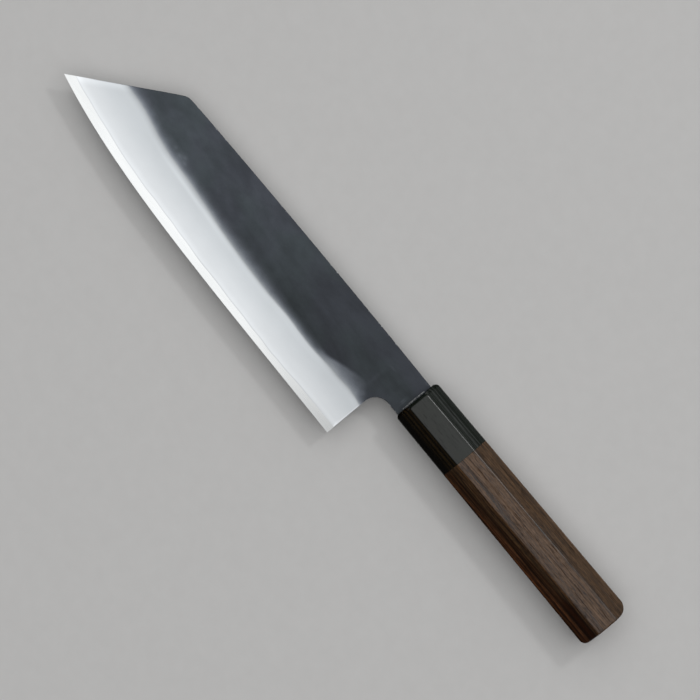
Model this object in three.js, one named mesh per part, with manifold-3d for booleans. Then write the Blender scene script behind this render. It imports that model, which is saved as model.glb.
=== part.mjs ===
// Bunka kitchen knife with a three-layer blade and an octagonal wooden handle, in millimetres.
// The knife lies on its side: +X points to the tip, +Y to the cutting edge and +Z out of the left face.
// Inside the knife's own group the origin is the middle of the ferrule's front face, on the handle's axis.

import * as THREE from 'three';
import { mergeVertices } from 'three/addons/utils/BufferGeometryUtils.js';
import Module from 'manifold-3d';

// Blade outline
const BLADE_LENGTH = 190;        // heel to tip, along the axis
const NECK_LENGTH = 13.5;        // ferrule to heel
const SPINE_RISE = 8.4;          // axis to the spine, at both ends of the spine
const SPINE_CROWN = 0.6;         // how far the spine bows out between its ends
const HEEL_DROP = 38.2;          // axis to the edge at the heel
const TIP_RISE = 11.7;           // how far the tip lies above the heel
const CLIP_LENGTH = 41.6;        // tip to the corner of the spine, along the axis
const CORNER_CUT = 3;            // length of the rounding on each side of that corner
const NECK_DROP = 10.2;          // axis to the underside of the neck
const CHOIL_RADIUS = 7;          // hollow between the neck and the heel
const EDGE_LIFT = 0.235;         // part of the tip's rise that the edge gains evenly from the heel
const EDGE_BELLY = 4.5;          // power of the curve that gains the rest towards the tip

// Blade thickness
const NECK_THICKNESS = 2.8;      // at the ferrule
const CORNER_THICKNESS = 1.6;    // at the corner of the spine
const CORE_THICKNESS = 0.66;     // hard middle layer
const CORE_STRIP = 4;            // height of the core that the bevel lays bare
const EDGE_LAND = 0.12;          // thickness left at the edge
const BEVEL_HEIGHT = 18.4;       // edge to the top of the bevel, at the heel
const BEVEL_GAIN = 7;            // how much taller the bevel is at the tip
const BEVEL_SWEEP = 2.5;         // power of the curve by which it grows

// Tang, which lies hidden in the handle
const TANG_HEIGHT = 10;          // at the ferrule
const TANG_END_HEIGHT = 5.5;
const TANG_END_THICKNESS = 1.8;

// Handle
const HANDLE_LENGTH = 127;       // ferrule and body together
const FERRULE_LENGTH = 32.4;
const FRONT_HEIGHT = 22.8;       // spine side to edge side, at the ferrule's mouth
const FRONT_WIDTH = 18.4;        // side to side
const FRONT_SIDE_FLAT = 9.2;     // height of the broad side facets
const FRONT_FLAT_RISE = 0.25;    // how far the middle of the broad facets lies towards the spine
const FRONT_BACK_FLAT = 7.6;     // width of the narrow facets on the spine and edge sides
const BUTT_HEIGHT = 24.6;        // the same sizes where the butt starts to round
const BUTT_WIDTH = 20;
const BUTT_SIDE_FLAT = 9.6;
const BUTT_FLAT_RISE = 0.8;
const BUTT_BACK_FLAT = 8.4;
const MOUTH_CHAMFER = 1.8;       // slope round the ferrule's front
const BUTT_ROUND = 4.2;          // length of the rounding at the butt
const BUTT_ROUND_HEIGHT = 4.6;   // how far it draws in the spine and edge sides
const BUTT_ROUND_WIDTH = 1.7;    // how far it draws in the broad sides

// Dowel and resin inside the handle
const MOUTH_WALL = 6;            // ferrule left in front of the dowel
const BUTT_WALL = 37;            // wood left behind the dowel
const DOWEL_WALL = 1.2;          // least wall of the dowel beside the tang's slot
const SLOT_END_WALL = 3;         // dowel left behind the end of the slot
const RESIN_BED = 0.5;           // thickness of the resin around the tang
const SEAL_THICKNESS = 0.6;      // bead between the neck's shoulder and the ferrule
const SEAL_LIP = 0.35;           // how far the bead stands proud of the blade's faces
const SEAL_SETBACK = 0.8;        // how far the bead stops short of the neck's top and bottom

// Fits
const RESIN_GAP = 0.1;           // resin to the steel inside it and to the wood outside it
const DOWEL_GAP = 0.2;           // dowel to its bore, all round and at the end

// Fineness of the faceted shapes
const EDGE_STEPS = 28;
const CURVE_STEPS = 10;
const BUTT_STEPS = 4;
const DOWEL_SIDES = 40;
const CUT_MARGIN = 5;            // how far cutting shapes reach past what they cut

const QUARTER_TURN = Math.PI / 2;

// Places that follow from the sizes
const HEEL_X = NECK_LENGTH;
const TIP_X = NECK_LENGTH + BLADE_LENGTH;
const CORNER_X = TIP_X - CLIP_LENGTH;
const TIP_Y = HEEL_DROP - TIP_RISE;
const SHOULDER_X = SEAL_THICKNESS;
const DOWEL_FRONT_X = -MOUTH_WALL;
const DOWEL_END_X = BUTT_WALL - HANDLE_LENGTH;
const SLOT_END_X = DOWEL_END_X + SLOT_END_WALL;
const TANG_END_X = SLOT_END_X + RESIN_BED;
const DOWEL_RADIUS = TANG_HEIGHT / 2 + RESIN_BED + DOWEL_WALL;
const CORE_HALF = CORE_THICKNESS / 2;

const wasm = await Module();
wasm.setup();

// Turns a closed geometry into a solid that can be cut and joined.
function solidOf(geometry) {
  const bare = geometry.clone();
  bare.deleteAttribute('normal');
  bare.deleteAttribute('uv');
  const merged = mergeVertices(bare);
  const vertProperties = new Float32Array(merged.attributes.position.array);
  const triVerts = new Uint32Array(merged.index.array);
  return new wasm.Manifold(new wasm.Mesh({ numProp: 3, vertProperties, triVerts }));
}

// Turns such a solid back into a geometry.
function geometryOf(solid) {
  const mesh = solid.getMesh();
  const geometry = new THREE.BufferGeometry();
  geometry.setAttribute('position', new THREE.BufferAttribute(new Float32Array(mesh.vertProperties), 3));
  geometry.setIndex(new THREE.BufferAttribute(new Uint32Array(mesh.triVerts), 1));
  const flat = geometry.toNonIndexed();
  flat.computeVertexNormals();
  return flat;
}

// Joins rings of points, all with as many points and in the same turn, into a closed body along +X.
function loftOf(rings) {
  const count = rings[0].length;
  const positions = [];
  const indices = [];
  for (const ring of rings) {
    for (const point of ring) {
      positions.push(...point);
    }
  }
  for (let r = 0; r + 1 < rings.length; r += 1) {
    for (let i = 0; i < count; i += 1) {
      const a = r * count + i;
      const b = r * count + (i + 1) % count;
      indices.push(a, b, b + count, a, b + count, a + count);
    }
  }
  const last = (rings.length - 1) * count;
  for (let i = 1; i + 1 < count; i += 1) {
    indices.push(0, i + 1, i, last, last + i, last + i + 1);
  }
  const geometry = new THREE.BufferGeometry();
  geometry.setAttribute('position', new THREE.Float32BufferAttribute(positions, 3));
  geometry.setIndex(indices);
  return geometry;
}

// A box given by its lowest and highest corners.
function boxBetween(low, high) {
  const size = high.map((value, axis) => value - low[axis]);
  const centre = high.map((value, axis) => (value + low[axis]) / 2);
  return new THREE.BoxGeometry(...size).translate(...centre);
}

// Blade: outline

// The edge rises evenly from the heel and curls up to the tip.
function edgeY(x) {
  const along = Math.max(0, (x - HEEL_X) / BLADE_LENGTH);
  return HEEL_DROP - TIP_RISE * (EDGE_LIFT * along + (1 - EDGE_LIFT) * along ** EDGE_BELLY);
}

// The tang's half height at x, which shrinks evenly to its end.
function tangHalfHeight(x) {
  const back = (SHOULDER_X - x) / (SHOULDER_X - TANG_END_X);
  return (TANG_HEIGHT + (TANG_END_HEIGHT - TANG_HEIGHT) * back) / 2;
}

// Outline of the whole blade from the side, with its tang.
function bladeOutline() {
  const clip = new THREE.Vector2(TIP_X - CORNER_X, TIP_Y + SPINE_RISE).setLength(CORNER_CUT);
  const outline = new THREE.Shape();
  outline.moveTo(TANG_END_X, -TANG_END_HEIGHT / 2);
  outline.lineTo(SHOULDER_X, -TANG_HEIGHT / 2);
  outline.lineTo(SHOULDER_X, -SPINE_RISE);
  outline.quadraticCurveTo(
    (SHOULDER_X + CORNER_X) / 2, -SPINE_RISE - 2 * SPINE_CROWN, CORNER_X - CORNER_CUT, -SPINE_RISE);
  outline.quadraticCurveTo(CORNER_X, -SPINE_RISE, CORNER_X + clip.x, -SPINE_RISE + clip.y);
  outline.lineTo(TIP_X, TIP_Y);
  for (let i = EDGE_STEPS - 1; i >= 0; i -= 1) {
    const x = HEEL_X + BLADE_LENGTH * i / EDGE_STEPS;
    outline.lineTo(x, edgeY(x));
  }
  outline.lineTo(HEEL_X, NECK_DROP + CHOIL_RADIUS);
  outline.absarc(HEEL_X - CHOIL_RADIUS, NECK_DROP + CHOIL_RADIUS, CHOIL_RADIUS, 0, -QUARTER_TURN, true);
  outline.lineTo(SHOULDER_X, NECK_DROP);
  outline.lineTo(SHOULDER_X, TANG_HEIGHT / 2);
  outline.lineTo(TANG_END_X, TANG_END_HEIGHT / 2);
  return outline;
}

// Blade: thickness

// Half the thickness of the flat cheeks, which thin evenly towards the tip and, in the tang, to its end.
function cheekHalf(x) {
  const full = x < 0
    ? NECK_THICKNESS + (TANG_END_THICKNESS - NECK_THICKNESS) * x / TANG_END_X
    : NECK_THICKNESS + (CORNER_THICKNESS - NECK_THICKNESS) * x / CORNER_X;
  return full / 2;
}

// Height of the bevel above the edge, which grows towards the tip.
function bevelHeight(x) {
  const along = Math.max(0, (x - HEEL_X) / BLADE_LENGTH);
  return BEVEL_HEIGHT + BEVEL_GAIN * along ** BEVEL_SWEEP;
}

// Section of the ground blade at x: flat cheeks, a bevel down to the core, and a finer slope to the edge.
function grindRing(x) {
  const edge = edgeY(x);
  const cheek = cheekHalf(x);
  const land = EDGE_LAND / 2;
  const face = [
    [-SPINE_RISE - SPINE_CROWN - CUT_MARGIN, cheek],
    [edge - bevelHeight(x), cheek],
    [edge - CORE_STRIP, Math.min(cheek, CORE_HALF)],
    [edge, land],
    [edge + CUT_MARGIN, land],
  ];
  const right = face.map(([y, z]) => [x, y, -z]);
  const left = face.map(([y, z]) => [x, y, z]).reverse();
  return [...right, ...left];
}

// The outline cut from a plate and ground on both sides.
function groundBlade() {
  const depth = NECK_THICKNESS + 2 * CUT_MARGIN;
  const plate = new THREE.ExtrudeGeometry(
    bladeOutline(), { depth, bevelEnabled: false, curveSegments: CURVE_STEPS });
  plate.translate(0, 0, -depth / 2);
  const stations = [TANG_END_X, 0];
  for (let i = 0; i <= EDGE_STEPS; i += 1) {
    stations.push(HEEL_X + BLADE_LENGTH * i / EDGE_STEPS);
  }
  return solidOf(plate).intersect(solidOf(loftOf(stations.map(grindRing))));
}

// One layer of the blade, between two heights.
function bladeLayer(blade, low, high) {
  const slab = boxBetween(
    [TANG_END_X - CUT_MARGIN, -SPINE_RISE - SPINE_CROWN - CUT_MARGIN, low],
    [TIP_X + CUT_MARGIN, HEEL_DROP + CUT_MARGIN, high]);
  return geometryOf(blade.intersect(solidOf(slab)));
}

// Handle: octagonal shells

// The handle's section at x: five sizes that change evenly from the mouth to the butt, drawn in where asked.
function octagonRing(x, inHeight = 0, inWidth = 0) {
  const back = x / (BUTT_ROUND - HANDLE_LENGTH);
  const size = (front, butt) => front + (butt - front) * Math.min(1, back);
  const top = size(FRONT_HEIGHT, BUTT_HEIGHT) / 2 - inHeight;
  const side = size(FRONT_WIDTH, BUTT_WIDTH) / 2 - inWidth;
  const shrink = Math.min(inHeight, inWidth) * Math.tan(QUARTER_TURN / 4);
  const sideFlat = size(FRONT_SIDE_FLAT, BUTT_SIDE_FLAT) / 2 - shrink;
  const backFlat = size(FRONT_BACK_FLAT, BUTT_BACK_FLAT) / 2 - shrink;
  const rise = size(FRONT_FLAT_RISE, BUTT_FLAT_RISE);
  const left = [[top, backFlat], [sideFlat - rise, side], [-sideFlat - rise, side], [-top, backFlat]];
  const right = left.map(([y, z]) => [y, -z]).reverse();
  const section = [...left, ...right];
  return section.map(([y, z]) => [x, y, z]);
}

// A cylinder along the handle's axis, between two places on it.
function rodBetween(low, high, radius) {
  const rod = new THREE.CylinderGeometry(radius, radius, high - low, DOWEL_SIDES);
  return rod.rotateZ(QUARTER_TURN).translate((low + high) / 2, 0, 0);
}

// A tapered block around the tang, larger by the given allowance, between two places on the axis.
function tangBlock(low, high, allowance) {
  const ring = (x) => {
    const y = tangHalfHeight(x) + allowance;
    const z = cheekHalf(Math.min(0, x)) + allowance;
    return [[x, -y, -z], [x, y, -z], [x, y, z], [x, -y, z]];
  };
  const stations = [low, 0, high].filter((x) => x >= low && x <= high);
  return loftOf([...new Set(stations)].map(ring));
}

const TANG_SLOT = solidOf(tangBlock(SLOT_END_X, CUT_MARGIN, RESIN_BED));

// Collar with a sloped mouth, a slot for the tang and a bore for the dowel.
function ferrule() {
  const shell = loftOf([
    octagonRing(-FERRULE_LENGTH),
    octagonRing(-MOUTH_CHAMFER),
    octagonRing(0, MOUTH_CHAMFER, MOUTH_CHAMFER),
  ]);
  const bore = rodBetween(
    -FERRULE_LENGTH - CUT_MARGIN, DOWEL_FRONT_X + DOWEL_GAP, DOWEL_RADIUS + DOWEL_GAP);
  return geometryOf(solidOf(shell).subtract(solidOf(bore)).subtract(TANG_SLOT));
}

// Wooden octagon with a rounded butt and a blind bore for the dowel.
function handleBody() {
  const rings = [];
  for (let i = BUTT_STEPS; i >= 0; i -= 1) {
    const turn = QUARTER_TURN * i / BUTT_STEPS;
    const x = BUTT_ROUND - HANDLE_LENGTH - BUTT_ROUND * Math.sin(turn);
    const drawnIn = 1 - Math.cos(turn);
    rings.push(octagonRing(x, BUTT_ROUND_HEIGHT * drawnIn, BUTT_ROUND_WIDTH * drawnIn));
  }
  rings.push(octagonRing(-FERRULE_LENGTH));
  const bore = rodBetween(DOWEL_END_X - DOWEL_GAP, CUT_MARGIN, DOWEL_RADIUS + DOWEL_GAP);
  return geometryOf(solidOf(loftOf(rings)).subtract(solidOf(bore)));
}

// Handle: what it holds inside

// Half of the slotted dowel, on the left (+1) or right (-1) of the tang's plane.
function dowelHalf(side) {
  const reach = DOWEL_RADIUS + CUT_MARGIN;
  const low = [DOWEL_END_X - CUT_MARGIN, -reach, Math.min(0, side * reach)];
  const high = [0, reach, Math.max(0, side * reach)];
  const rod = solidOf(rodBetween(DOWEL_END_X, DOWEL_FRONT_X, DOWEL_RADIUS));
  return geometryOf(rod.subtract(TANG_SLOT).intersect(solidOf(boxBetween(low, high))));
}

// Bed of resin between the tang and its slot, closed behind the tang's end.
function tangResin() {
  const outside = solidOf(tangBlock(SLOT_END_X + RESIN_GAP, 0, RESIN_BED - RESIN_GAP));
  const inside = solidOf(tangBlock(TANG_END_X - RESIN_GAP, CUT_MARGIN, RESIN_GAP));
  return geometryOf(outside.subtract(inside));
}

// Bead that closes the slot, between the neck's shoulder and the ferrule.
function mouthSeal() {
  const z = NECK_THICKNESS / 2 + SEAL_LIP;
  const bead = boxBetween(
    [0, SEAL_SETBACK - SPINE_RISE, -z], [SHOULDER_X, NECK_DROP - SEAL_SETBACK, z]);
  const tang = solidOf(tangBlock(-CUT_MARGIN, CUT_MARGIN, RESIN_GAP));
  return geometryOf(solidOf(bead).subtract(tang));
}

// Materials and assembly

const BRIGHT_STEEL = { color: 0xe6e8ea, roughness: 0.3, metalness: 1 };
const FORGED_STEEL = { color: 0x3d4247, roughness: 0.5, metalness: 0.7 };
const DARK_COLLAR = { color: 0x1c1a18, roughness: 0.35, metalness: 0 };
const RED_BROWN_WOOD = { color: 0x4f3326, roughness: 0.5, metalness: 0 };
const PALE_WOOD = { color: 0xc9a878, roughness: 0.8, metalness: 0 };
const CLEAR_RESIN = { color: 0xd8d2c4, roughness: 0.25, metalness: 0 };

function piece(name, geometry, finish) {
  const mesh = new THREE.Mesh(geometry, new THREE.MeshStandardMaterial(finish));
  mesh.name = name;
  return mesh;
}

const ground = groundBlade();
const blade = new THREE.Group();
blade.add(
  piece('core_steel', bladeLayer(ground, -CORE_HALF, CORE_HALF), BRIGHT_STEEL),
  piece('left_cladding', bladeLayer(ground, CORE_HALF, NECK_THICKNESS), FORGED_STEEL),
  piece('right_cladding', bladeLayer(ground, -NECK_THICKNESS, -CORE_HALF), FORGED_STEEL));

const handle = new THREE.Group();
handle.add(
  piece('ferrule', ferrule(), DARK_COLLAR),
  piece('handle_body', handleBody(), RED_BROWN_WOOD),
  piece('dowel_left_half', dowelHalf(1), PALE_WOOD),
  piece('dowel_right_half', dowelHalf(-1), PALE_WOOD),
  piece('tang_resin', tangResin(), CLEAR_RESIN),
  piece('mouth_seal', mouthSeal(), CLEAR_RESIN));

// The finished knife stands with its lowest facet on the ground and its box centred on the origin.
const knife = new THREE.Group();
knife.add(blade, handle);
const box = new THREE.Box3().setFromObject(knife);
const centre = box.getCenter(new THREE.Vector3());
knife.position.set(-centre.x, -centre.y, -box.min.z);

const part = new THREE.Group();
part.add(knife);
part.updateMatrixWorld(true);

export default part;
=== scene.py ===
import math

import bpy
import numpy as np
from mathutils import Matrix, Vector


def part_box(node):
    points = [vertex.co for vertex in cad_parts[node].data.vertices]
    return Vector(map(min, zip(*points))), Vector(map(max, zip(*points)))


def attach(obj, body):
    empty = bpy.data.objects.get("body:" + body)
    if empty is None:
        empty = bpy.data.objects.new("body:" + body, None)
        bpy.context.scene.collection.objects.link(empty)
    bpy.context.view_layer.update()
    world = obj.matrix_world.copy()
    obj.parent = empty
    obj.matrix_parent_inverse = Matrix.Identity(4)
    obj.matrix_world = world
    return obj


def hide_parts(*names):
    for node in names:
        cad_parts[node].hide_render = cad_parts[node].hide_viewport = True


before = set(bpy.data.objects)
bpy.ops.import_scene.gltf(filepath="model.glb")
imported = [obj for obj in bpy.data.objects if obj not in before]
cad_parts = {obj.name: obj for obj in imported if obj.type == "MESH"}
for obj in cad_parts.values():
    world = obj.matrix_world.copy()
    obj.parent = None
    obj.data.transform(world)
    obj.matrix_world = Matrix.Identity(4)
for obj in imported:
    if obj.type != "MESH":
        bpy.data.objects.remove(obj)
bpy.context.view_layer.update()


# Core steel
# The hard middle layer of the three-layer blade, forge-welded between two softer layers and ground thin.
# It comes out from under them only along the cutting edge, and runs back into the handle as the tang.

MM = 0.001
ferrule_box = np.array(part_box("ferrule"))
core_box = np.array(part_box("core_steel"))
# The middle of the ferrule's front face. The knife is measured from there in millimetres, with x towards
# the tip, y towards the edge and z out of the left face.
mouth = np.array([ferrule_box[1, 0], ferrule_box[:, 1].mean(), ferrule_box[:, 2].mean()])
tang_end = (core_box[0, 0] - mouth[0]) / MM
tip_x = (core_box[1, 0] - mouth[0]) / MM
heel_drop = (core_box[1, 1] - mouth[1]) / MM
core_half = (core_box[1, 2] - core_box[0, 2]) / 2 / MM
heel_x = 13.5
neck_x = 0.05
neck_drop = 10.2
choil_radius = 7.0
spine_rise = 8.4
spine_crown = 0.6
corner_x = 161.9
crown_end = corner_x - 3
corner_ease = 1.1
tip_y = heel_drop - 11.7
edge_lift = 0.235
edge_belly = 4.5
edge_half = 0.012
tang_half = 5.0
tang_end_half = 2.75
neck_thickness = 2.8
corner_thickness = 1.6
tang_end_thickness = 1.8
grind_at_heel = 18.4
grind_lift = 7.0
grind_power = 2.5
grind_softness = 0.06
# How high the core stands out of the claddings above the edge: x and millimetres.
core_line = np.array([(13.5, 3.6), (25, 3.54), (35, 3.21), (45, 2.8), (53, 2.66), (62, 3.1), (70, 3.2),
                      (84, 3.1), (100, 3.25), (108, 3.45), (116, 3.75), (132, 3.72), (146, 3.62),
                      (156, 3.85), (165, 4.0)])
# How far the core's surface stays inside the planes where the claddings are welded on, and how far it is
# drawn finely above the strip that shows.
weld_inset = 0.004
fine_margin = 0.8
# The lines that carry the blade's surfaces: the lengths of spine over the choil and over the heel, the gaps
# between the stretches and at the neck, the shortest step from line to line, and the share of the edge in
# which the cut side of the heel ends.
spine_over_choil = 8.0
spine_over_heel = 10.5
stretch_gap = 0.02
neck_gap = 0.03
shortest_step = 0.004
heel_corner = 1 / 300
sharp_angle = math.radians(38)
steel_tone = (0.866, 0.886, 0.890)
steel_light = (0.902, 0.920, 0.922)


def edge_y(x):
    """Cutting edge: a slow straight rise from the heel plus a belly that grows as a high power of x."""
    along = np.clip((x - heel_x) / (tip_x - heel_x), 0, 1)
    return heel_drop - (heel_drop - tip_y) * (edge_lift * along + (1 - edge_lift) * along ** edge_belly)


def top_y(x):
    """Top of the blade: a flat parabola for the spine and a straight line down the clipped tip. The larger
    of the two is taken, as a smooth maximum, so that the corner between them is rounded."""
    along = np.clip((x - neck_x) / (crown_end - neck_x), 0, 1)
    spine = -spine_rise - 4 * spine_crown * along * (1 - along)
    clip = tip_y - (tip_x - x) * (spine_rise + tip_y) / (tip_x - corner_x)
    return (spine + clip + np.sqrt((spine - clip) ** 2 + corner_ease ** 2)) / 2


def smooth(value):
    """A smooth step from 0 to 1."""
    value = np.clip(value, 0, 1)
    return value * value * (3 - 2 * value)


def through(points, x, spread):
    """A smooth line through a few points: straight from each to the next, averaged over a spread of x."""
    shifts = np.linspace(-spread, spread, 9)
    return np.mean([np.interp(x + shift, points[:, 0], points[:, 1]) for shift in shifts], axis=0)


def core_strip(x, side):
    """Height of the bare core above the edge: a smooth line through its mean heights, with two slow waves
    and uneven small kinks, unlike on each side."""
    wave = 0.14 * np.sin(x / 7.3 + 2.0 * side) + 0.10 * np.sin(x / 17.0 + side)
    kinks = 0.08 * np.sin(x / 2.4 + 1.6 * np.sin(x / 11.0 + side)) * smooth((x - 20) / 15)
    return through(core_line, x, 4.0) + wave + kinks


def grind_height(x):
    """Height of the ground bevel above the edge: a constant plus a power of x that lifts it at the tip."""
    along = np.clip((x - heel_x) / (tip_x - heel_x), 0, 1)
    return grind_at_heel + grind_lift * along ** grind_power


def half_thickness(x, y, side):
    """Half the blade's thickness. The cheek is flat and thins evenly to the tip and along the tang. The bevel
    falls evenly from the top of the grind to the core's strip and again from there to the edge. The smaller
    of the two is taken, as a smooth minimum, so that the grind runs out softly."""
    forward = neck_thickness + (corner_thickness - neck_thickness) * x / corner_x
    backward = neck_thickness + (tang_end_thickness - neck_thickness) * x / tang_end
    cheek = np.where(x > 0, forward, backward) / 2
    above = edge_y(x) - y
    strip = core_strip(x, side)
    upper = core_half + (cheek - core_half) * (above - strip) / (grind_height(x) - strip)
    lower = edge_half + (core_half - edge_half) * np.clip(above, 0, None) / strip
    bevel = np.where(above > strip, upper, lower)
    return (cheek + bevel - np.sqrt((cheek - bevel) ** 2 + grind_softness ** 2)) / 2


def rungs(foot):
    """Straight lines across the blade, from the tang's end to the tip: their heads run along the tang, the
    spine and the clip, and their feet along the tang, the neck, the choil, the heel and the line foot(x).
    The last one is where that line is only a gap below the clip. The third result is 1 where the foot is a
    cut side and 0 where it is the line."""
    reach = np.linspace(corner_x + 20, tip_x, 4000)
    end = reach[np.argmin(np.abs(foot(reach) - top_y(reach) - stretch_gap))]
    counts = (10, 30, 22, 40, 390)
    part = [np.linspace(0, 1, count) for count in counts]
    turn = part[2] * math.pi / 2
    choil_x = heel_x - choil_radius
    choil_drop = neck_drop + choil_radius
    past_choil = choil_x + spine_over_choil
    past_heel = past_choil + spine_over_heel
    tang_x = tang_end + (neck_x - neck_gap - tang_end) * part[0]
    tang_y = tang_end_half + (tang_half - tang_end_half) * part[0]
    head_x = [neck_x + (choil_x - neck_x) * part[1],
              choil_x + spine_over_choil * part[2] + stretch_gap,
              past_choil + spine_over_heel * part[3] + 2 * stretch_gap,
              past_heel + (end - past_heel) * part[4] + 3 * stretch_gap]
    head_x = np.minimum(np.concatenate(head_x), end)
    foot_x = [head_x[:counts[1]],
              choil_x + choil_radius * np.sin(turn),
              heel_x + 0 * part[3],
              heel_x + (end - heel_x) * part[4]]
    foot_y = [neck_drop + 0 * part[1],
              neck_drop + choil_radius * (1 - np.cos(turn)),
              choil_drop + (foot(heel_x) - choil_drop) * part[3],
              foot(foot_x[3])]
    heads = np.stack([np.r_[tang_x, head_x], np.r_[-tang_y, top_y(head_x)]], axis=-1)
    feet = np.stack([np.r_[tang_x, np.concatenate(foot_x)], np.r_[tang_y, np.concatenate(foot_y)]], axis=-1)
    cut = np.r_[np.ones(sum(counts[:4])), 1 - np.clip(part[4] / heel_corner, 0, 1)]
    steps = np.diff(heads, axis=0) + np.diff(feet, axis=0)
    keep = np.r_[True, np.hypot(*steps.T) > shortest_step]
    return heads[keep], feet[keep], cut[keep]


def skin(name, loops, marks, joined=False):
    """Skin over a row of closed loops, an array of rows, points and x, y, z: every loop is joined to the next
    by a band of quads. The first and last loops are closed by a face each or, if joined, to each other.
    Marks are values that the finish reads, one for each point."""
    rows, count = loops.shape[:2]
    row = np.arange(rows if joined else rows - 1)[:, None] * count
    after = (row + count) % (rows * count)
    point = np.arange(count)[None, :]
    follow = (point + 1) % count
    quads = np.stack([row + point, row + follow, after + follow, after + point], axis=-1).reshape(-1, 4)
    ends = [] if joined else [list(range(count))[::-1], list(range((rows - 1) * count, rows * count))]
    mesh = bpy.data.meshes.new(name)
    mesh.from_pydata((mouth + loops.reshape(-1, 3) * MM).tolist(), [], quads.tolist() + ends)
    mesh.polygons.foreach_set("use_smooth", np.ones(len(mesh.polygons), dtype=bool))
    mesh.set_sharp_from_angle(angle=sharp_angle)
    for mark, values in marks.items():
        layer = mesh.attributes.new(mark, "FLOAT", "POINT")
        layer.data.foreach_set("value", np.ascontiguousarray(values, dtype=np.float32).ravel())
    mesh.validate()
    piece = bpy.data.objects.new(name, mesh)
    bpy.context.scene.collection.objects.link(piece)
    return piece


class Signal:
    """A socket of a finish's node tree. Sums, differences and products of signals and numbers add Math nodes
    to the tree."""

    def __init__(self, tree, socket):
        self.tree = tree
        self.socket = socket

    def feed(self, node, inputs):
        """Sets or links sockets of a node, given by name or place."""
        for key, value in inputs.items():
            if isinstance(value, Signal):
                self.tree.links.new(value.socket, node.inputs[key])
            else:
                node.inputs[key].default_value = value

    def node(self, kind, settings, inputs, output=0):
        """Adds a node, with its settings first and its sockets after them, and gives one of its outputs."""
        made = self.tree.nodes.new(kind)
        for key, value in settings.items():
            if key == "stops":
                ramp = made.color_ramp.elements
                while len(ramp) < len(value):
                    ramp.new(1.0)
                for stop, (place, colour) in zip(ramp, value):
                    stop.position = place
                    stop.color = (*colour, 1.0)
            else:
                setattr(made, key, value)
        self.feed(made, inputs)
        return Signal(self.tree, made.outputs[output])

    def math(self, operation, first, second):
        """Adds a Math node on two signals or numbers."""
        return self.node("ShaderNodeMath", {"operation": operation}, {0: first, 1: second})

    def __add__(self, other):
        return self.math("ADD", self, other)

    def __radd__(self, other):
        return self.math("ADD", other, self)

    def __sub__(self, other):
        return self.math("SUBTRACT", self, other)

    def __rsub__(self, other):
        return self.math("SUBTRACT", other, self)

    def __mul__(self, other):
        return self.math("MULTIPLY", self, other)

    def __rmul__(self, other):
        return self.math("MULTIPLY", other, self)


def new_finish(name):
    """A new material: gives it, its surface shader and the place on the knife in millimetres."""
    finish = bpy.data.materials.new(name)
    finish.use_nodes = True
    shader = finish.node_tree.nodes["Principled BSDF"]
    seen = Signal(finish.node_tree, None).node("ShaderNodeTexCoord", {}, {}, "Object")
    measure = {"Vector": seen, "Location": tuple(-mouth / MM), "Scale": (1 / MM, 1 / MM, 1 / MM)}
    return finish, shader, seen.node("ShaderNodeMapping", {}, measure)


def grain(spot, stretch, detail=3.0, rough=0.55):
    """Noise from 0 to 1 whose features are as many millimetres long, in x, y and z, as stretch says."""
    scaled = spot.node("ShaderNodeMapping", {}, {"Vector": spot, "Scale": tuple(1 / s for s in stretch)})
    return spot.node("ShaderNodeTexNoise", {}, {"Vector": scaled, "Scale": 1.0, "Detail": detail,
                                                "Roughness": rough})


def ease(value, low, high, start=0.0, stop=1.0):
    """A smooth step from start to stop while the value goes from low to high."""
    return value.node("ShaderNodeMapRange", {"interpolation_type": "SMOOTHSTEP"}, {
        "Value": value, "From Min": low, "From Max": high, "To Min": start, "To Max": stop})


def tinge(share, first, second):
    """A colour between two colours."""
    ends = [c if isinstance(c, Signal) else (*c, 1.0) for c in (first, second)]
    return share.node("ShaderNodeMix", {"data_type": "RGBA"}, {0: share, 6: ends[0], 7: ends[1]}, 2)


def shaded(colour, level):
    """A colour made lighter or darker."""
    return colour.node("ShaderNodeVectorMath", {"operation": "SCALE"}, {0: colour, "Scale": level})


def mark_of(spot, name):
    """A value that the mesh carries at each point."""
    return spot.node("ShaderNodeAttribute", {"attribute_name": name}, {}, "Fac")


def relief(spot, height, depth):
    """A normal from a height between 0 and 1 that stands for so many millimetres."""
    return spot.node("ShaderNodeBump", {}, {"Strength": 1.0, "Distance": depth * MM, "Height": height})


def fit(piece, finish, node):
    """Gives a piece its finish, and has it ride with the knife in the place of a solid."""
    piece.data.materials.append(finish)
    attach(piece, "root")
    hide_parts(node)


# Each line across has a few points where the core is covered, and more where it comes out, which are closest
# at the edge.
heads, feet, _ = rungs(edge_y)
length = np.hypot(*(feet - heads).T)
bare = np.clip((core_strip(feet[:, 0], 0) + fine_margin) / length, 0.02, 0.9)[:, None]
covered = np.linspace(0, 1, 7)[None, :-1] * (1 - bare)
shown = 1 - bare * np.linspace(1, 0, 18)[None, :] ** 1.3
plan = heads[:, None] + (feet - heads)[:, None] * np.hstack([covered, shown])[..., None]
left, right = (np.minimum(half_thickness(plan[..., 0], plan[..., 1], side), core_half - weld_inset) * side
               for side in (1, -1))
over = np.concatenate([plan, left[..., None]], axis=-1)
under = np.concatenate([plan, right[..., None]], axis=-1)
core = skin("blade_core", np.concatenate([under, over[:, ::-1]], axis=1), {})

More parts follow.
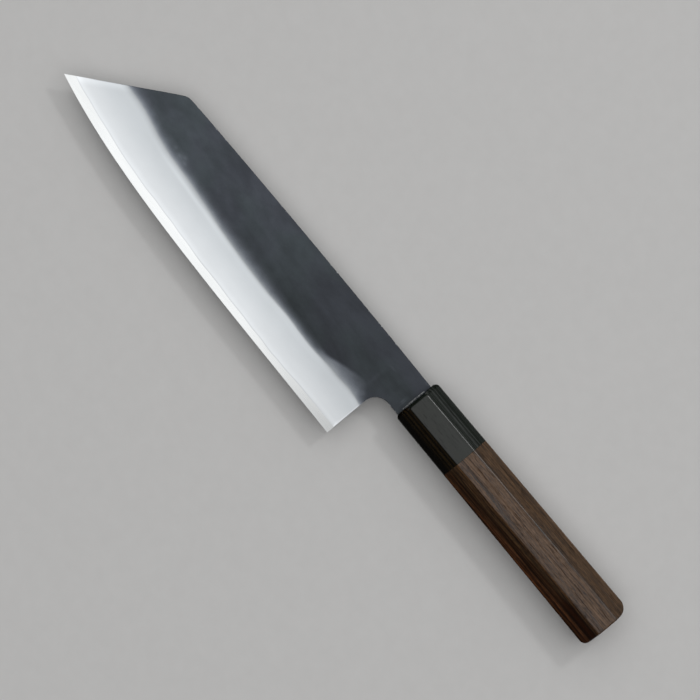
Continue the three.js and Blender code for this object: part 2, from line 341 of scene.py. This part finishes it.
finish, shader, spot = new_finish("bright_core_steel")
strokes = grain(spot, (9.0, 0.25, 0.25))
cloud = grain(spot, (30.0, 3.0, 3.0))
x = spot.node("ShaderNodeSeparateXYZ", {}, {0: spot}, 0)
bright = tinge(ease(cloud, 0.3, 0.7), steel_tone, steel_light)
level = ease(x, -15.0, 85.0, 0.50, 1.0) * ease(x, 98.0, 114.0, 1.0, 1.04)
level = level * ease(x, 166.0, 184.0, 1.0, 0.95)
spot.feed(shader, {
    "Base Color": shaded(bright, level),
    "Metallic": 1.0,
    "Roughness": 0.22 + 0.14 * strokes,
    "Normal": relief(spot, strokes, 0.004)})
fit(core, finish, "core_steel")


# Claddings
# The two soft outer layers of the blade. Forge scale is left on their upper part as a dark skin, and below it
# they are ground to a wide satin bevel that runs out in a soft wavy line and thins to nothing over the core.

arris = 0.3
thinnest = 0.008
grey_scale = (0.0480, 0.0586, 0.0665)
blue_scale = (0.0510, 0.0576, 0.0706)
satin_above = (0.600, 0.632, 0.657)
satin_below = (0.745, 0.772, 0.795)
thin_scale = (0.520, 0.575, 0.665)
chipped_scale = (0.42, 0.44, 0.46)
# The line where the grind runs out and the top of the thin wash above it at the heel: x and y.
grind_line = np.array([(12.0, 20.3), (15, 19.9), (18, 19.2), (20, 18.6), (22, 18.6), (25, 19.05),
                       (28, 19.4), (32, 19.2), (36, 19.2), (40, 19.65), (44, 19.95), (52, 19.85),
                       (60, 19.25), (66, 19.15), (75, 19.25), (90, 18.72), (110, 17.2), (130, 14.9),
                       (150, 13.6), (160, 11.7), (170, 9.4), (180, 8.6), (190, 8.3)])
heel_wash = np.array([(13.5, 15.6), (15, 14.6), (16.5, 13.0), (18, 12.1), (20, 11.9), (22, 12.0), (25, 12.6),
                      (28, 13.6), (31, 14.4), (35, 15.9), (39, 17.2), (44, 16.5), (50, 10.0), (60, -20.0)])
# How far the grind fades out above its line, longest in the wash: x and millimetres.
grind_fade = np.array([(13.5, 1.3), (16, 1.5), (18, 1.8), (22, 2.1), (26, 2.7), (30, 3.0), (35, 3.0),
                       (39, 1.9), (44, 1.3), (55, 1.3), (65, 1.2), (80, 1.9), (100, 1.9), (120, 1.5),
                       (130, 1.35), (165, 1.45)])
# Spots where the scale is rubbed a little lighter or left darker: x, y, length, height and strength.
rubs = [(144.0, 10.4, 3.4, 2.0, 0.050), (141.0, -6.2, 9.0, 1.6, 0.018), (152.0, 8.8, 5.0, 1.2, 0.012),
        (142.6, 9.7, 1.1, 0.8, 0.050), (145.0, 10.9, 1.2, 0.8, 0.060), (141.0, 11.4, 1.2, 0.6, 0.060),
        (148.5, 9.9, 0.9, 0.7, 0.040), (19.0, 17.4, 1.7, 1.1, 0.055), (25.0, 17.5, 2.2, 1.2, -0.045),
        (16.4, 15.7, 1.5, 1.4, 0.050), (18.4, 7.0, 0.9, 5.0, 0.014), (16.5, -0.9, 1.8, 0.4, 0.026),
        (3.3, 4.8, 0.32, 1.4, 0.045), (2.5, 5.2, 0.28, 1.8, 0.045), (2.4, -7.7, 0.8, 0.4, 0.030)]


def below_line(x, y, side):
    """How far a place lies below the line where the grind runs out. On the right face the line sways a
    little."""
    sway = 0 if side > 0 else 0.7 * np.sin(x / 15.0 + 1.0)
    return y - through(grind_line, x, 4.0) - sway


def ground_share(x, y, side):
    """How far the scale is ground away, from 0 to 1. Half of it is gone at the line. Below, the rest goes
    exponentially within a short bite, in a power of the depth that makes mid-blade's bend rounder. Above,
    the grind fades exponentially over a longer way, longest at the heel, where a thin veil is added and all
    ends at the top of the wash. Bell-shaped spots are rubbed into the left face."""
    below = below_line(x, y, side)
    bite = 0.35 + 0.40 * smooth((x - 64) / 18) + 0.42 * smooth((x - 108) / 24) + 0.32 * smooth((42 - x) / 12)
    bite = bite - 0.38 * np.exp(-((x - 144) / 9) ** 2) - 0.30 * smooth((20 - x) / 4)
    power = 1 + 0.5 * smooth((x - 36) / 10) * smooth((126 - x) / 14)
    fade = through(grind_fade, x, 1.4)
    veil = (0.05 * smooth((x - 15) / 5) + 0.022 * smooth((x - 22) / 4)) * smooth((44 - x) / 8)
    veil = veil * (1 - np.exp(np.minimum(below, 0) / 0.8))
    faint = 0.515 * np.exp(np.minimum(below, 0) / fade) - 0.015 + veil
    faint = faint * smooth((y - through(heel_wash, x, 1.4) + 0.9) / 1.9)
    share = np.where(below > 0, 1 - 0.5 * np.exp(-(np.maximum(below, 0) / bite) ** power), faint)
    for rub_x, rub_y, rub_length, rub_height, strength in rubs if side > 0 else []:
        share = share + strength * np.exp(-((x - rub_x) / rub_length) ** 2 - ((y - rub_y) / rub_height) ** 2)
    return np.clip(share, 0, 1)


def burnish(x, y, side):
    """A narrow brighter seam just below the line: a bell across it, times one along the blade that is
    strongest two thirds of the way to the tip."""
    middle = 2.1 + 0.5 * smooth((x - 118) / 10)
    strength = 0.15 + 0.85 * np.exp(-((x - 130) / 18) ** 2)
    return strength * np.exp(-((below_line(x, y, side) - middle) / 0.9) ** 2)


def cladding(name, side):
    """One outer layer as closed loops: along its inner plane from the head of each rung to its foot, and back
    over the outer face, which is rounded at the spine and at the cut heel and thins to the core's line."""
    heads, feet, cut = rungs(lambda x: edge_y(x) - core_strip(x, side))
    length = np.hypot(*(feet - heads).T)[:, None]
    near = np.minimum(1, length / 1.4) * np.array([[0, 0.025, 0.07, 0.14, 0.22, 0.32, 0.45]])
    middle = near[:, -1:] + (length - 2 * near[:, -1:]) * np.linspace(0, 1, 88)[None, 1:-1]
    walk = np.hstack([near, middle, length - near[:, ::-1]])
    plan = heads[:, None] + (feet - heads)[:, None] * (walk / length)[..., None]
    back = length - walk

    def rounding(distance):
        """How far a quarter circle drops the face at a distance from its rim."""
        inside = np.clip(arris - distance, 0, arris)
        return arris - np.sqrt(arris ** 2 - inside ** 2)

    height = half_thickness(plan[..., 0], plan[..., 1], side)
    height = height - rounding(walk) - rounding(back) * cut[:, None]
    height = np.maximum(height, core_half + thinnest)
    outer = np.concatenate([plan, side * height[..., None]], axis=-1)
    inner = heads[:, None] + (feet - heads)[:, None] * np.linspace(0, 1, 9)[None, :, None]
    inner = np.concatenate([inner, np.full_like(inner[..., :1], side * core_half)], axis=-1)
    marks = {
        "ground": ground_share(plan[..., 0], plan[..., 1], side),
        "burnish": burnish(plan[..., 0], plan[..., 1], side),
        "above_core": edge_y(plan[..., 0]) - plan[..., 1] - core_strip(plan[..., 0], side),
        "rim": np.minimum(walk, np.where(cut[:, None] > 0, back, 9.0))}
    flat = np.zeros(inner.shape[:2])
    if side > 0:
        loops = np.concatenate([inner, outer[:, ::-1]], axis=1)
        marks = {key: np.hstack([flat, value[:, ::-1]]) for key, value in marks.items()}
    else:
        loops = np.concatenate([outer, inner[:, ::-1]], axis=1)
        marks = {key: np.hstack([value, flat]) for key, value in marks.items()}
    return skin(name, loops, marks)


finish, shader, spot = new_finish("scaled_and_ground_steel")
x = spot.node("ShaderNodeSeparateXYZ", {}, {0: spot}, 0)
clouds = grain(spot, (26.0, 13.0, 13.0), 4.0)
hue = grain(spot, (34.0, 20.0, 20.0), 2.0)
blotches = grain(spot, (6.0, 3.5, 3.5), 3.0)
grit = grain(spot, (0.5, 0.4, 0.4), 2.0)
strokes = grain(spot, (11.0, 0.3, 0.3), 3.0)
ground = mark_of(spot, "ground")
rim = mark_of(spot, "rim")
above = mark_of(spot, "above_core")
# Where the grind runs out, blotches and grit break its soft edge up.
runs_out = 4.0 * ground * (1.0 - ground)
share = ground + runs_out * (0.22 * (blotches - 0.5) + 0.10 * (grit - 0.5))
# The scale is clouded, and darker towards the heel and low down in mid-blade.
scale = tinge(ease(hue, 0.38, 0.62), grey_scale, blue_scale)
low_down = ease(above, 16.0, 30.0, 0.35, 0.0) * ease(x, 165.0, 100.0) * ease(x, 30.0, 65.0, 0.4, 1.0)
mottle = 0.76 + 0.48 * ease(clouds + 0.5 * (blotches - 0.5), 0.2, 0.8)
along = ease(x, 30.0, 125.0, 0.69, 1.08) * ease(x, 130.0, 165.0, 1.0, 1.10)
scale = shaded(scale, along * mottle * (1.0 - low_down) * (0.90 + 0.20 * grit))
# The satin is lighter towards the core and the rims, and darker at the heel and in a thin seam on the core.
satin = tinge(ease(above, 14.0, 0.0), satin_above, satin_below)
heel_shade = ease(x, 10.0, 85.0, 0.855, 1.0) * ease(x, 112.0, 140.0, 1.0, 0.98)
seam = ease(x, 16.0, 38.0, 0.06, 0.19) * ease(x, 104.0, 112.0, 1.0, 0.75) * ease(above, 0.75, 0.05)
near_core = (1.0 + ease(above, 3.2, 0.4) * ease(x, 104.0, 112.0, 0.07, 0.10)) * (1.0 - seam)
near_core = near_core * (1.0 - 0.10 * ease(above, 1.8, 0.0) * ease(x, 45.0, 20.0))
edges = ease(rim, 0.3, 4.4, 1.17, 1.0) * (1.0 + 0.15 * mark_of(spot, "burnish"))
satin = shaded(satin, (0.95 + 0.10 * clouds) * heel_shade * near_core * edges)
satin = tinge(ease(share, 0.0, 0.7), thin_scale, satin)
# Small chips along the rims show bare steel.
chips = ease(grain(spot, (2.2, 0.8, 0.8), 2.0), 0.58, 0.68) * ease(rim, 0.34, 0.10)
colour = tinge(share, scale, satin)
spot.feed(shader, {
    "Base Color": tinge(chips, colour, chipped_scale),
    "Metallic": 0.72 + 0.28 * share,
    "Roughness": 0.46 + 0.10 * (blotches - 0.5) - 0.17 * share + 0.08 * strokes * share,
    "Normal": relief(spot, (1.0 - share) * grit + 0.35 * share * strokes, 0.012)})
for name, node, side in (("left_layer", "left_cladding", 1), ("right_layer", "right_cladding", -1)):
    fit(cladding(name, side), finish, node)


# Ferrule
# A collar of near-black dense wood at the front of the handle, planed to eight sides and polished, with its
# mouth chamfered. It is slotted in front for the tang and bored behind for the dowel, and glued on.

handle_end = (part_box("handle_body")[0].x - mouth[0]) / MM
ferrule_back = (ferrule_box[0, 0] - mouth[0]) / MM
butt_edge = 0.9
front_half = np.array([11.4, 9.2])
butt_half = np.array([12.3, 10.0])
front_flat = np.array([9.2, 7.6])
butt_flat = np.array([9.6, 8.4])
flat_rise = np.array([0.25, 0.8])
flat_inset = np.array([0.71, 0.95])
ridge_reach = 0.55
joint_break = 0.05
mouth_chamfer = 1.8
chamfer_power = 1.25
face_inset = 5.2
mouth_wall = 5.8
bore_radius = 6.9
slot_half = np.array([5.5, 1.9])
# The green-tinted black and the light grey-green streak colour for the spine's side are painted reflection
# and sheen.
painted_reflection_black = (0.0006, 0.0036, 0.0006)
black_below = (0.0014, 0.0009, 0.0003)
painted_sheen_streak = (0.0360, 0.0400, 0.0370)
streak_below = (0.0190, 0.0115, 0.0034)


def soft_corners(corners, reach, steps):
    """Rounds the corners of closed outlines, an array of outlines, corners and two axes: every corner becomes
    a quadratic curve from so far before it to so far after it, and three points keep each side straight."""
    before = np.roll(corners, 1, axis=-2) - corners
    after = np.roll(corners, -1, axis=-2) - corners
    first = corners + before / np.linalg.norm(before, axis=-1, keepdims=True) * reach
    last = corners + after / np.linalg.norm(after, axis=-1, keepdims=True) * reach
    following = np.roll(first, -1, axis=-2)
    first, corner, last, following = (ends[..., None, :] for ends in (first, corners, last, following))
    s = np.linspace(0, 1, steps)[:, None]
    curve = (1 - s) ** 2 * first + 2 * s * (1 - s) * corner + s ** 2 * last
    t = np.array([0.03, 0.5, 0.97])[:, None]
    side = (1 - t) * last + t * following
    rings = np.concatenate([curve, side], axis=-2)
    return rings.reshape(*rings.shape[:-3], -1, 2)


def eight_sides(x, inset, trim, reach):
    """Loops of the handle's octagon at places x: its height, width and flats grow evenly from the mouth to
    the butt, and so does the rise of the broad flats towards the spine. All eight sides are drawn in by
    inset, and the narrow sides at the spine and at the edge are cut back by the two columns of trim, which
    makes them wider. Corners are rounded over the length reach."""
    back = np.clip(x / (handle_end + butt_edge), 0, 1)[:, None]
    half = front_half + (butt_half - front_half) * back - inset[:, None]
    flat = (front_flat + (butt_flat - front_flat) * back - flat_inset * inset[:, None]) / 2
    half_y, half_z, flat_y, flat_z = half[:, 0], half[:, 1], flat[:, 0], flat[:, 1]
    rise = (flat_rise[0] + (flat_rise[1] - flat_rise[0]) * back)[:, 0]
    low, high = flat_y - rise, -flat_y - rise
    spine_y = half_y - trim[:, 0]
    spine_z = flat_z + (half_z - flat_z) / (half_y + high) * trim[:, 0]
    belly_y = half_y - trim[:, 1]
    belly_z = flat_z + (half_z - flat_z) / (half_y - low) * trim[:, 1]
    corners = np.stack([
        np.stack([belly_y, -belly_z], -1), np.stack([belly_y, belly_z], -1),
        np.stack([low, half_z], -1), np.stack([high, half_z], -1),
        np.stack([-spine_y, spine_z], -1), np.stack([-spine_y, -spine_z], -1),
        np.stack([high, -half_z], -1), np.stack([low, -half_z], -1)], axis=1)
    rings = soft_corners(corners, reach, 6)
    return np.concatenate([np.broadcast_to(x[:, None, None], (*rings.shape[:2], 1)), rings], axis=-1)


def hole(x, radius, turn):
    """Loops of a hole at places x: its radius, one for all or one for each angle of turn, carried along x."""
    x = np.asarray(x)[:, None] + 0 * turn
    return np.stack([x, radius * np.cos(turn) + 0 * x, radius * np.sin(turn) + 0 * x], axis=-1)


turn = np.linspace(0, math.pi / 2, 14)
along = np.r_[ferrule_back, ferrule_back + joint_break,
              np.linspace(ferrule_back + 0.3, -mouth_chamfer - 0.4, 24),
              -mouth_chamfer * (1 - np.sin(turn) ** chamfer_power), 0.0, 0.0]
inset = np.r_[joint_break, np.zeros(25), mouth_chamfer * (1 - np.cos(turn) ** chamfer_power),
              mouth_chamfer + 0.8, face_inset]
outside = eight_sides(along, inset, np.zeros((len(along), 2)), ridge_reach)
# The points of slot and bore lie at the same angles as those of the eight sides.
angle = np.arctan2(outside[0, :, 2], outside[0, :, 1])
slot_radius = np.minimum(slot_half[0] / np.abs(np.cos(angle)), slot_half[1] / np.abs(np.sin(angle)))
slot = hole([0.0, -0.2, -mouth_wall], slot_radius, angle)
bore = hole([-mouth_wall, -mouth_wall - 0.3, ferrule_back + 0.3, ferrule_back], bore_radius, angle)
ferrule = skin("ferrule_collar", np.concatenate([outside, slot, bore]), {}, joined=True)

finish, shader, spot = new_finish("polished_black_wood")
x, y, z = (spot.node("ShaderNodeSeparateXYZ", {}, {0: spot}, axis) for axis in (0, 1, 2))
# Fine streaks run along the slants, and the broad flats are nearly plain black. Towards the spine's side the
# black is tinted green and the streaks are light grey-green as painted reflection and sheen; towards the
# edge's side both keep the wood's own brown.
drift = grain(spot, (90.0, 7.0, 7.0), 1.0) - 0.5
comb = spot.node("ShaderNodeTexNoise", {"noise_dimensions": "1D"}, {
    "W": 0.78 * y + 0.34 * z + 1.3 * drift, "Scale": 1.0, "Detail": 4.0, "Roughness": 0.7})
fibres = grain(spot, (30.0, 0.5, 0.5), 2.0)
pores = ease(grain(spot, (5.0, 0.35, 0.35), 1.0), 0.60, 0.70)
on_slants = ease(y * y, 19.0, 27.0, 0.12, 1.0)
dark_line = ease(y + 1.2 * drift, -10.1, -9.8) * ease(y + 1.2 * drift, -9.0, -9.4)
streaks = ease(comb + 0.25 * (fibres - 0.5), 0.42, 0.62) * on_slants * (1.0 - 0.9 * dark_line)
streaks = streaks * ease(y, 9.2, 8.3) * ease(y, -11.0, -9.0, 0.5, 1.0)
streak_and_sheen = tinge(ease(y, -2.0, 2.0), painted_sheen_streak, streak_below)
black_and_reflection = tinge(ease(y, 3.0, 5.5), painted_reflection_black, black_below)
black = tinge(streaks, black_and_reflection, streak_and_sheen)
# The chamfer of the mouth is left dull.
dull = ease(x, -1.9, -1.2) * ease(y * y, 20.0, 40.0)
spot.feed(shader, {
    "Base Color": shaded(black, 1.0 - 0.6 * pores),
    "Roughness": 0.45 + 0.2 * comb,
    "Specular IOR Level": 0.0,
    "Coat Weight": 1.0 - 0.85 * dull - 0.3 * pores,
    "Coat Roughness": 0.22,
    "Coat IOR": 1.5,
    "Normal": relief(spot, comb + 0.25 * fibres - 0.3 * pores, 0.016)})
fit(ferrule, finish, "ferrule")


# Handle body
# An eight-sided grip of dark reddish-brown hardwood with straight grain, a little larger at the butt, whose
# end is rounded over. It is bored from the front for the dowel, glued flush to the ferrule and oiled.

dowel_end = -90.2
butt_crown = 0.3
butt_corner = np.array([5.0, 3.0])
plain_shaft = (6.0, 93.8)
corner_reach = 0.5
# The wood's tones from pores to pale bands, with their places on a scale from 0 to 1.
wood_tones = [(0.18, (0.0080, 0.0034, 0.0012)), (0.40, (0.0410, 0.0180, 0.0058)),
              (0.55, (0.0760, 0.0350, 0.0105)), (0.85, (0.1250, 0.0640, 0.0270))]
grey_wood = (0.0660, 0.0480, 0.0330)
dark_red = (0.0300, 0.0090, 0.0025)
light_red = (0.1300, 0.0460, 0.0180)
band_tone = (0.0190, 0.0048, 0.0008)

into = np.r_[butt_corner.max() * 1.04 * np.linspace(0, 1, 34) ** 2, np.linspace(*plain_shaft, 70)]
trim = butt_corner * (1 - np.sqrt(1 - np.clip(1 - into[:, None] / butt_corner, 0, 1) ** 2))
break_edge = butt_edge * (1 - np.sqrt(1 - np.clip(1 - into / butt_edge, 0, 1) ** 2))
shaft_x = np.r_[handle_end + butt_crown + into, ferrule_back - joint_break, ferrule_back]
inset = np.r_[break_edge, 0, joint_break]
outside = eight_sides(shaft_x, inset, np.vstack([trim, np.zeros((2, 2))]), corner_reach)
dome = np.array([0.12, 0.35, 0.6, 0.8, 0.93])
cap = outside[:1] * np.array([0, 1, 1]) * dome[:, None, None]
cap[..., 0] = handle_end + butt_crown * dome[:, None] ** 2
angle = np.arctan2(outside[-1, :, 2], outside[-1, :, 1])
bore = hole([ferrule_back, ferrule_back - 0.3, dowel_end], bore_radius, angle)
body = skin("handle_grip", np.concatenate([cap, outside, bore]), {})

finish, shader, spot = new_finish("oiled_dark_hardwood")
x, y, z = (spot.node("ShaderNodeSeparateXYZ", {}, {0: spot}, axis) for axis in (0, 1, 2))
# Growth rings lie nearly level along the grip, with fibres, flecks, glints and long veins in them.
drift = grain(spot, (48.0, 8.0, 8.0), 2.0) - 0.5
ring = 0.90 * y + 0.44 * z + 3.0 * drift
bands = spot.node("ShaderNodeTexNoise", {"noise_dimensions": "1D"}, {
    "W": 0.40 * ring, "Scale": 1.0, "Detail": 3.0, "Roughness": 0.62})
fibres = grain(spot, (14.0, 0.65, 0.65), 4.0, 0.65)
worked = ease(grain(spot, (20.0, 4.0, 4.0), 1.0), 0.44, 0.62, 0.25, 1.0)
flecks = ease(grain(spot, (5.5, 0.55, 0.55), 2.0), 0.54, 0.66) * worked
glints = ease(grain(spot, (7.0, 0.6, 0.6), 2.0), 0.56, 0.68)
specks = grain(spot, (2.4, 0.5, 0.5), 2.0) - 0.5
veins = ease(grain(spot, (50.0, 0.7, 0.7), 2.0), 0.50, 0.60)
# On the edge's side dark lines, a dark band and a red one run a little aslant of the grip.
from_butt = x + 112.0
slantwise = y - 8.1 - 0.00031 * from_butt * from_butt + 1.2 * drift + 1.4 * (fibres - 0.5)
near_butt = ease(x, -98.0, -112.0)
dark_band = ease(slantwise + 1.2 * near_butt, -1.9, -1.0) * ease(slantwise, 1.2, 0.3)
lines = sum(ease(slantwise, place - 0.35, place) * ease(slantwise, place + 0.35, place)
            for place in (-3.3, -1.3, 0.2, 2.3))
edge_side = ease(y, 4.4, 5.2)
red_band = ease(slantwise, 0.0, 1.5) * edge_side
gold_streak = ease(ring, 3.1, 3.6) * ease(ring, 4.2, 3.7) * ease(x, -74.0, -62.0) * ease(x, -33.0, -40.0)
smoke = ease(y, 0.6, 1.8) * ease(y, 3.6, 2.6) * ease(x, -66.0, -56.0)
figure = 0.05 * red_band + 0.16 * gold_streak - 0.08 * smoke
depth = 0.5 + 1.0 * (bands - 0.5) + 1.2 * (fibres - 0.5) + 0.7 * specks + figure + 0.12 * glints
wood = spot.node("ShaderNodeValToRGB", {"stops": wood_tones}, {0: depth})
spine_side = ease(y, -4.5, -6.0)
wood = tinge(0.3 * spine_side + 0.25 * edge_side, wood, grey_wood)
red = tinge(ease(fibres + 0.5 * specks, 0.30, 0.70), dark_red, light_red)
wood = tinge(0.85 * red_band, wood, red)
light = (1.0 - (0.64 + 0.36 * near_butt) * dark_band) * (1.0 - 0.8 * lines)
light = light * (1.0 - 0.5 * near_butt * ease(slantwise, 1.4, 2.2))
wood = tinge((1.0 - light) * edge_side, wood, band_tone)
# Threads along the slants, and wear that leaves flecks and veins darker and duller. The edge's side is
# painted darker and made duller as shade, and the lowest ridge likewise as painted shadow.
shadowed_low_ridge = ease(y, 10.5, 11.3)
threads = ease(grain(spot, (40.0, 0.75, 0.75), 1.0), 0.34, 0.66, -0.45, 0.45)
threads = threads * (edge_side + 0.45 * spine_side)
# The darkening of the edge's side and of the lowest ridge is painted shade and shadow, not wear.
wear_and_painted_shade = (1.0 - 0.45 * flecks) * (1.0 - 0.25 * veins) * (1.0 - 0.25 * edge_side) * (1.0 - 0.25 * shadowed_low_ridge)
wear_and_painted_shade = wear_and_painted_shade * (1.0 + threads) * ease(x, -115.0, -45.0, 0.98, 1.07)
oil = (0.98 - 0.55 * flecks - 0.35 * veins + 0.5 * specks) * (1.0 - 0.6 * edge_side - 0.3 * shadowed_low_ridge)
spot.feed(shader, {
    "Base Color": shaded(wood, wear_and_painted_shade),
    "Roughness": 0.45 + 0.14 * fibres + 0.10 * flecks,
    "Specular IOR Level": 0.05,
    "Coat Weight": oil,
    "Coat Roughness": 0.27,
    "Coat IOR": 1.5,
    "Normal": relief(spot, 0.6 * fibres - 0.6 * flecks - 0.4 * veins, 0.02)})
fit(body, finish, "handle_body")


# Dowel halves
# A pale softwood rod inside the ferrule and the grip, which lines them up. It is split so that each half
# could be slotted for the tang, and glued together again. Both halves are hidden.

pale_wood = (0.62, 0.43, 0.23)
late_wood = (0.42, 0.24, 0.11)

finish, shader, spot = new_finish("bare_softwood")
rings = grain(spot, (80.0, 1.4, 1.4), 2.0)
fibres = grain(spot, (20.0, 0.3, 0.3), 2.0)
softwood = tinge(ease(rings, 0.4, 0.62), pale_wood, late_wood)
spot.feed(shader, {
    "Base Color": shaded(softwood, 0.9 + 0.2 * fibres),
    "Roughness": 0.62 + 0.14 * fibres,
    "Normal": relief(spot, fibres, 0.02)})
for node in ("dowel_left_half", "dowel_right_half"):
    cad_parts[node].data.materials.clear()
    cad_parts[node].data.materials.append(finish)


# Tang resin and mouth seal
# Clear resin, poured round the tang into the dowel's slot, where it is hidden. The last of it is wiped into a
# small glossy bead that closes the slot where the neck of the blade enters the ferrule.

seal_box = (np.array(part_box("mouth_seal")) - mouth) / MM
bead_width = 0.9
bead_rise = 0.22
bead_sink = 0.5
bead_flush = 0.05
bead_from = -6.2
bead_to = 8.2
bead_taper = 1.5
bead_square = np.array([0.6, 0.25])
resin_dark = (0.07, 0.074, 0.078)
resin_light = (0.24, 0.247, 0.255)

finish, shader, spot = new_finish("cured_resin")
cloud = grain(spot, (1.6, 1.5, 1.5), 2.0)
spot.feed(shader, {
    "Base Color": tinge(ease(cloud, 0.38, 0.66), resin_dark, resin_light),
    "Roughness": 0.10 + 0.12 * cloud,
    "Normal": relief(spot, cloud, 0.03)})
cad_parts["tang_resin"].data.materials.clear()
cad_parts["tang_resin"].data.materials.append(finish)

# The bead is a ring round the neck, made square by low powers of cosine and sine. It swells in uneven lumps
# along the middle of the neck and tapers off towards its ends.
middle = seal_box[:, 1:].mean(axis=0)
spread = np.array([(seal_box[1, 1] - seal_box[0, 1]) / 2, neck_thickness / 2])
turn = np.linspace(0, 2 * math.pi, 220, endpoint=False)[:, None]
lap = np.linspace(0, 2 * math.pi, 16, endpoint=False)[None, :]
round_y = np.sign(np.cos(turn)) * np.abs(np.cos(turn)) ** bead_square[0]
round_z = np.sign(np.sin(turn)) * np.abs(np.sin(turn)) ** bead_square[1]
bead_y = middle[0] + round_y * (spread[0] - 0.4) + 0 * lap
lumps = 0.75 + 0.25 * np.sin(1.3 * bead_y + 0.6) * np.sin(0.7 * bead_y + 2.0)
swell = lumps * np.clip((bead_to - bead_y) / bead_taper, 0, 1)
swell = swell * np.clip((bead_y - bead_from) / bead_taper, 0, 1)
proud = 0.5 * (1 + np.sin(lap))
out = -bead_sink + (bead_sink - bead_flush + (bead_rise + bead_flush) * swell) * proud
bead_z = middle[1] + round_z * (spread[1] + out)
bead_x = bead_width * (0.75 + 0.25 * swell) * 0.5 * (1 + np.cos(lap))
bead = skin("mouth_bead", np.stack([bead_x, bead_y, bead_z], axis=-1), {}, joined=True)
fit(bead, finish, "mouth_seal")


# Floor
# A plain pale table that the knife lies on. The side of its handle is on the table and its blade a little
# above it.

table_tone = (0.59, 0.585, 0.578)
table_light = (0.63, 0.625, 0.618)

span = np.linspace(-4.0, 4.0, 9)
floor_x, floor_y = np.meshgrid(span, span)
places = np.stack([floor_x, floor_y, 0 * floor_x], axis=-1).reshape(-1, 3)
index = (np.arange(8)[:, None] * 9 + np.arange(8)[None, :]).reshape(-1, 1)
mesh = bpy.data.meshes.new("table_top")
mesh.from_pydata(places.tolist(), [], (index + np.array([[0, 1, 10, 9]])).tolist())
floor = bpy.data.objects.new("table_top", mesh)
bpy.context.scene.collection.objects.link(floor)
finish, shader, spot = new_finish("pale_table")
speckle = grain(spot, (6.0, 6.0, 6.0), 3.0)
spot.feed(shader, {
    "Base Color": tinge(speckle, table_tone, table_light),
    "Roughness": 0.75 + 0.1 * speckle})
floor.data.materials.append(finish)


# Light
# A soft bright ceiling over dim walls, which are darkest on the edge's side, and one small lamp half-way up
# on the spine's side, which draws the handle's upper ridges.

world = bpy.data.worlds.new("studio")
world.use_nodes = True
bpy.context.scene.world = world
ray = Signal(world.node_tree, None).node("ShaderNodeTexCoord", {}, {}, "Generated")
ray_y, ray_z = (ray.node("ShaderNodeSeparateXYZ", {}, {0: ray}, axis) for axis in (1, 2))
ceiling = ease(0.97 * ray_z - 0.24 * ray_y, 0.36, 0.86)
wall = ease(ray_y, 0.4, -0.8, 0.03, 0.13)
ray.feed(world.node_tree.nodes["Background"], {
    "Color": (1.0, 1.0, 1.0, 1.0), "Strength": wall * (1.0 - ceiling) + 1.07 * ceiling})

lamp = bpy.data.lights.new("side_lamp", "AREA")
lamp.shape = "SQUARE"
lamp.size = 0.15
lamp.energy = 2.5
side_lamp = bpy.data.objects.new("side_lamp", lamp)
side_lamp.location = (0.0, -1.1, 1.1)
side_lamp.rotation_euler = (math.radians(45), 0, 0)
bpy.context.scene.collection.objects.link(side_lamp)


# Camera
# It looks straight down on the left face from well above, so that the knife is drawn nearly without
# perspective, and is turned so that the handle points to the lower right.

seen_width = 0.2996
distance = 1.6
aim = np.array([34.36, 8.14, 0.0])
turned = math.radians(230.2)
lens = bpy.data.cameras.new("camera")
lens.sensor_width = 36.0
lens.lens = lens.sensor_width * distance / seen_width
camera = bpy.data.objects.new("camera", lens)
camera.location = mouth + aim * MM + np.array([0, 0, distance])
camera.rotation_euler = (0, 0, turned)
bpy.context.scene.collection.objects.link(camera)
bpy.context.scene.camera = camera
bpy.context.scene.view_settings.view_transform = "Standard"
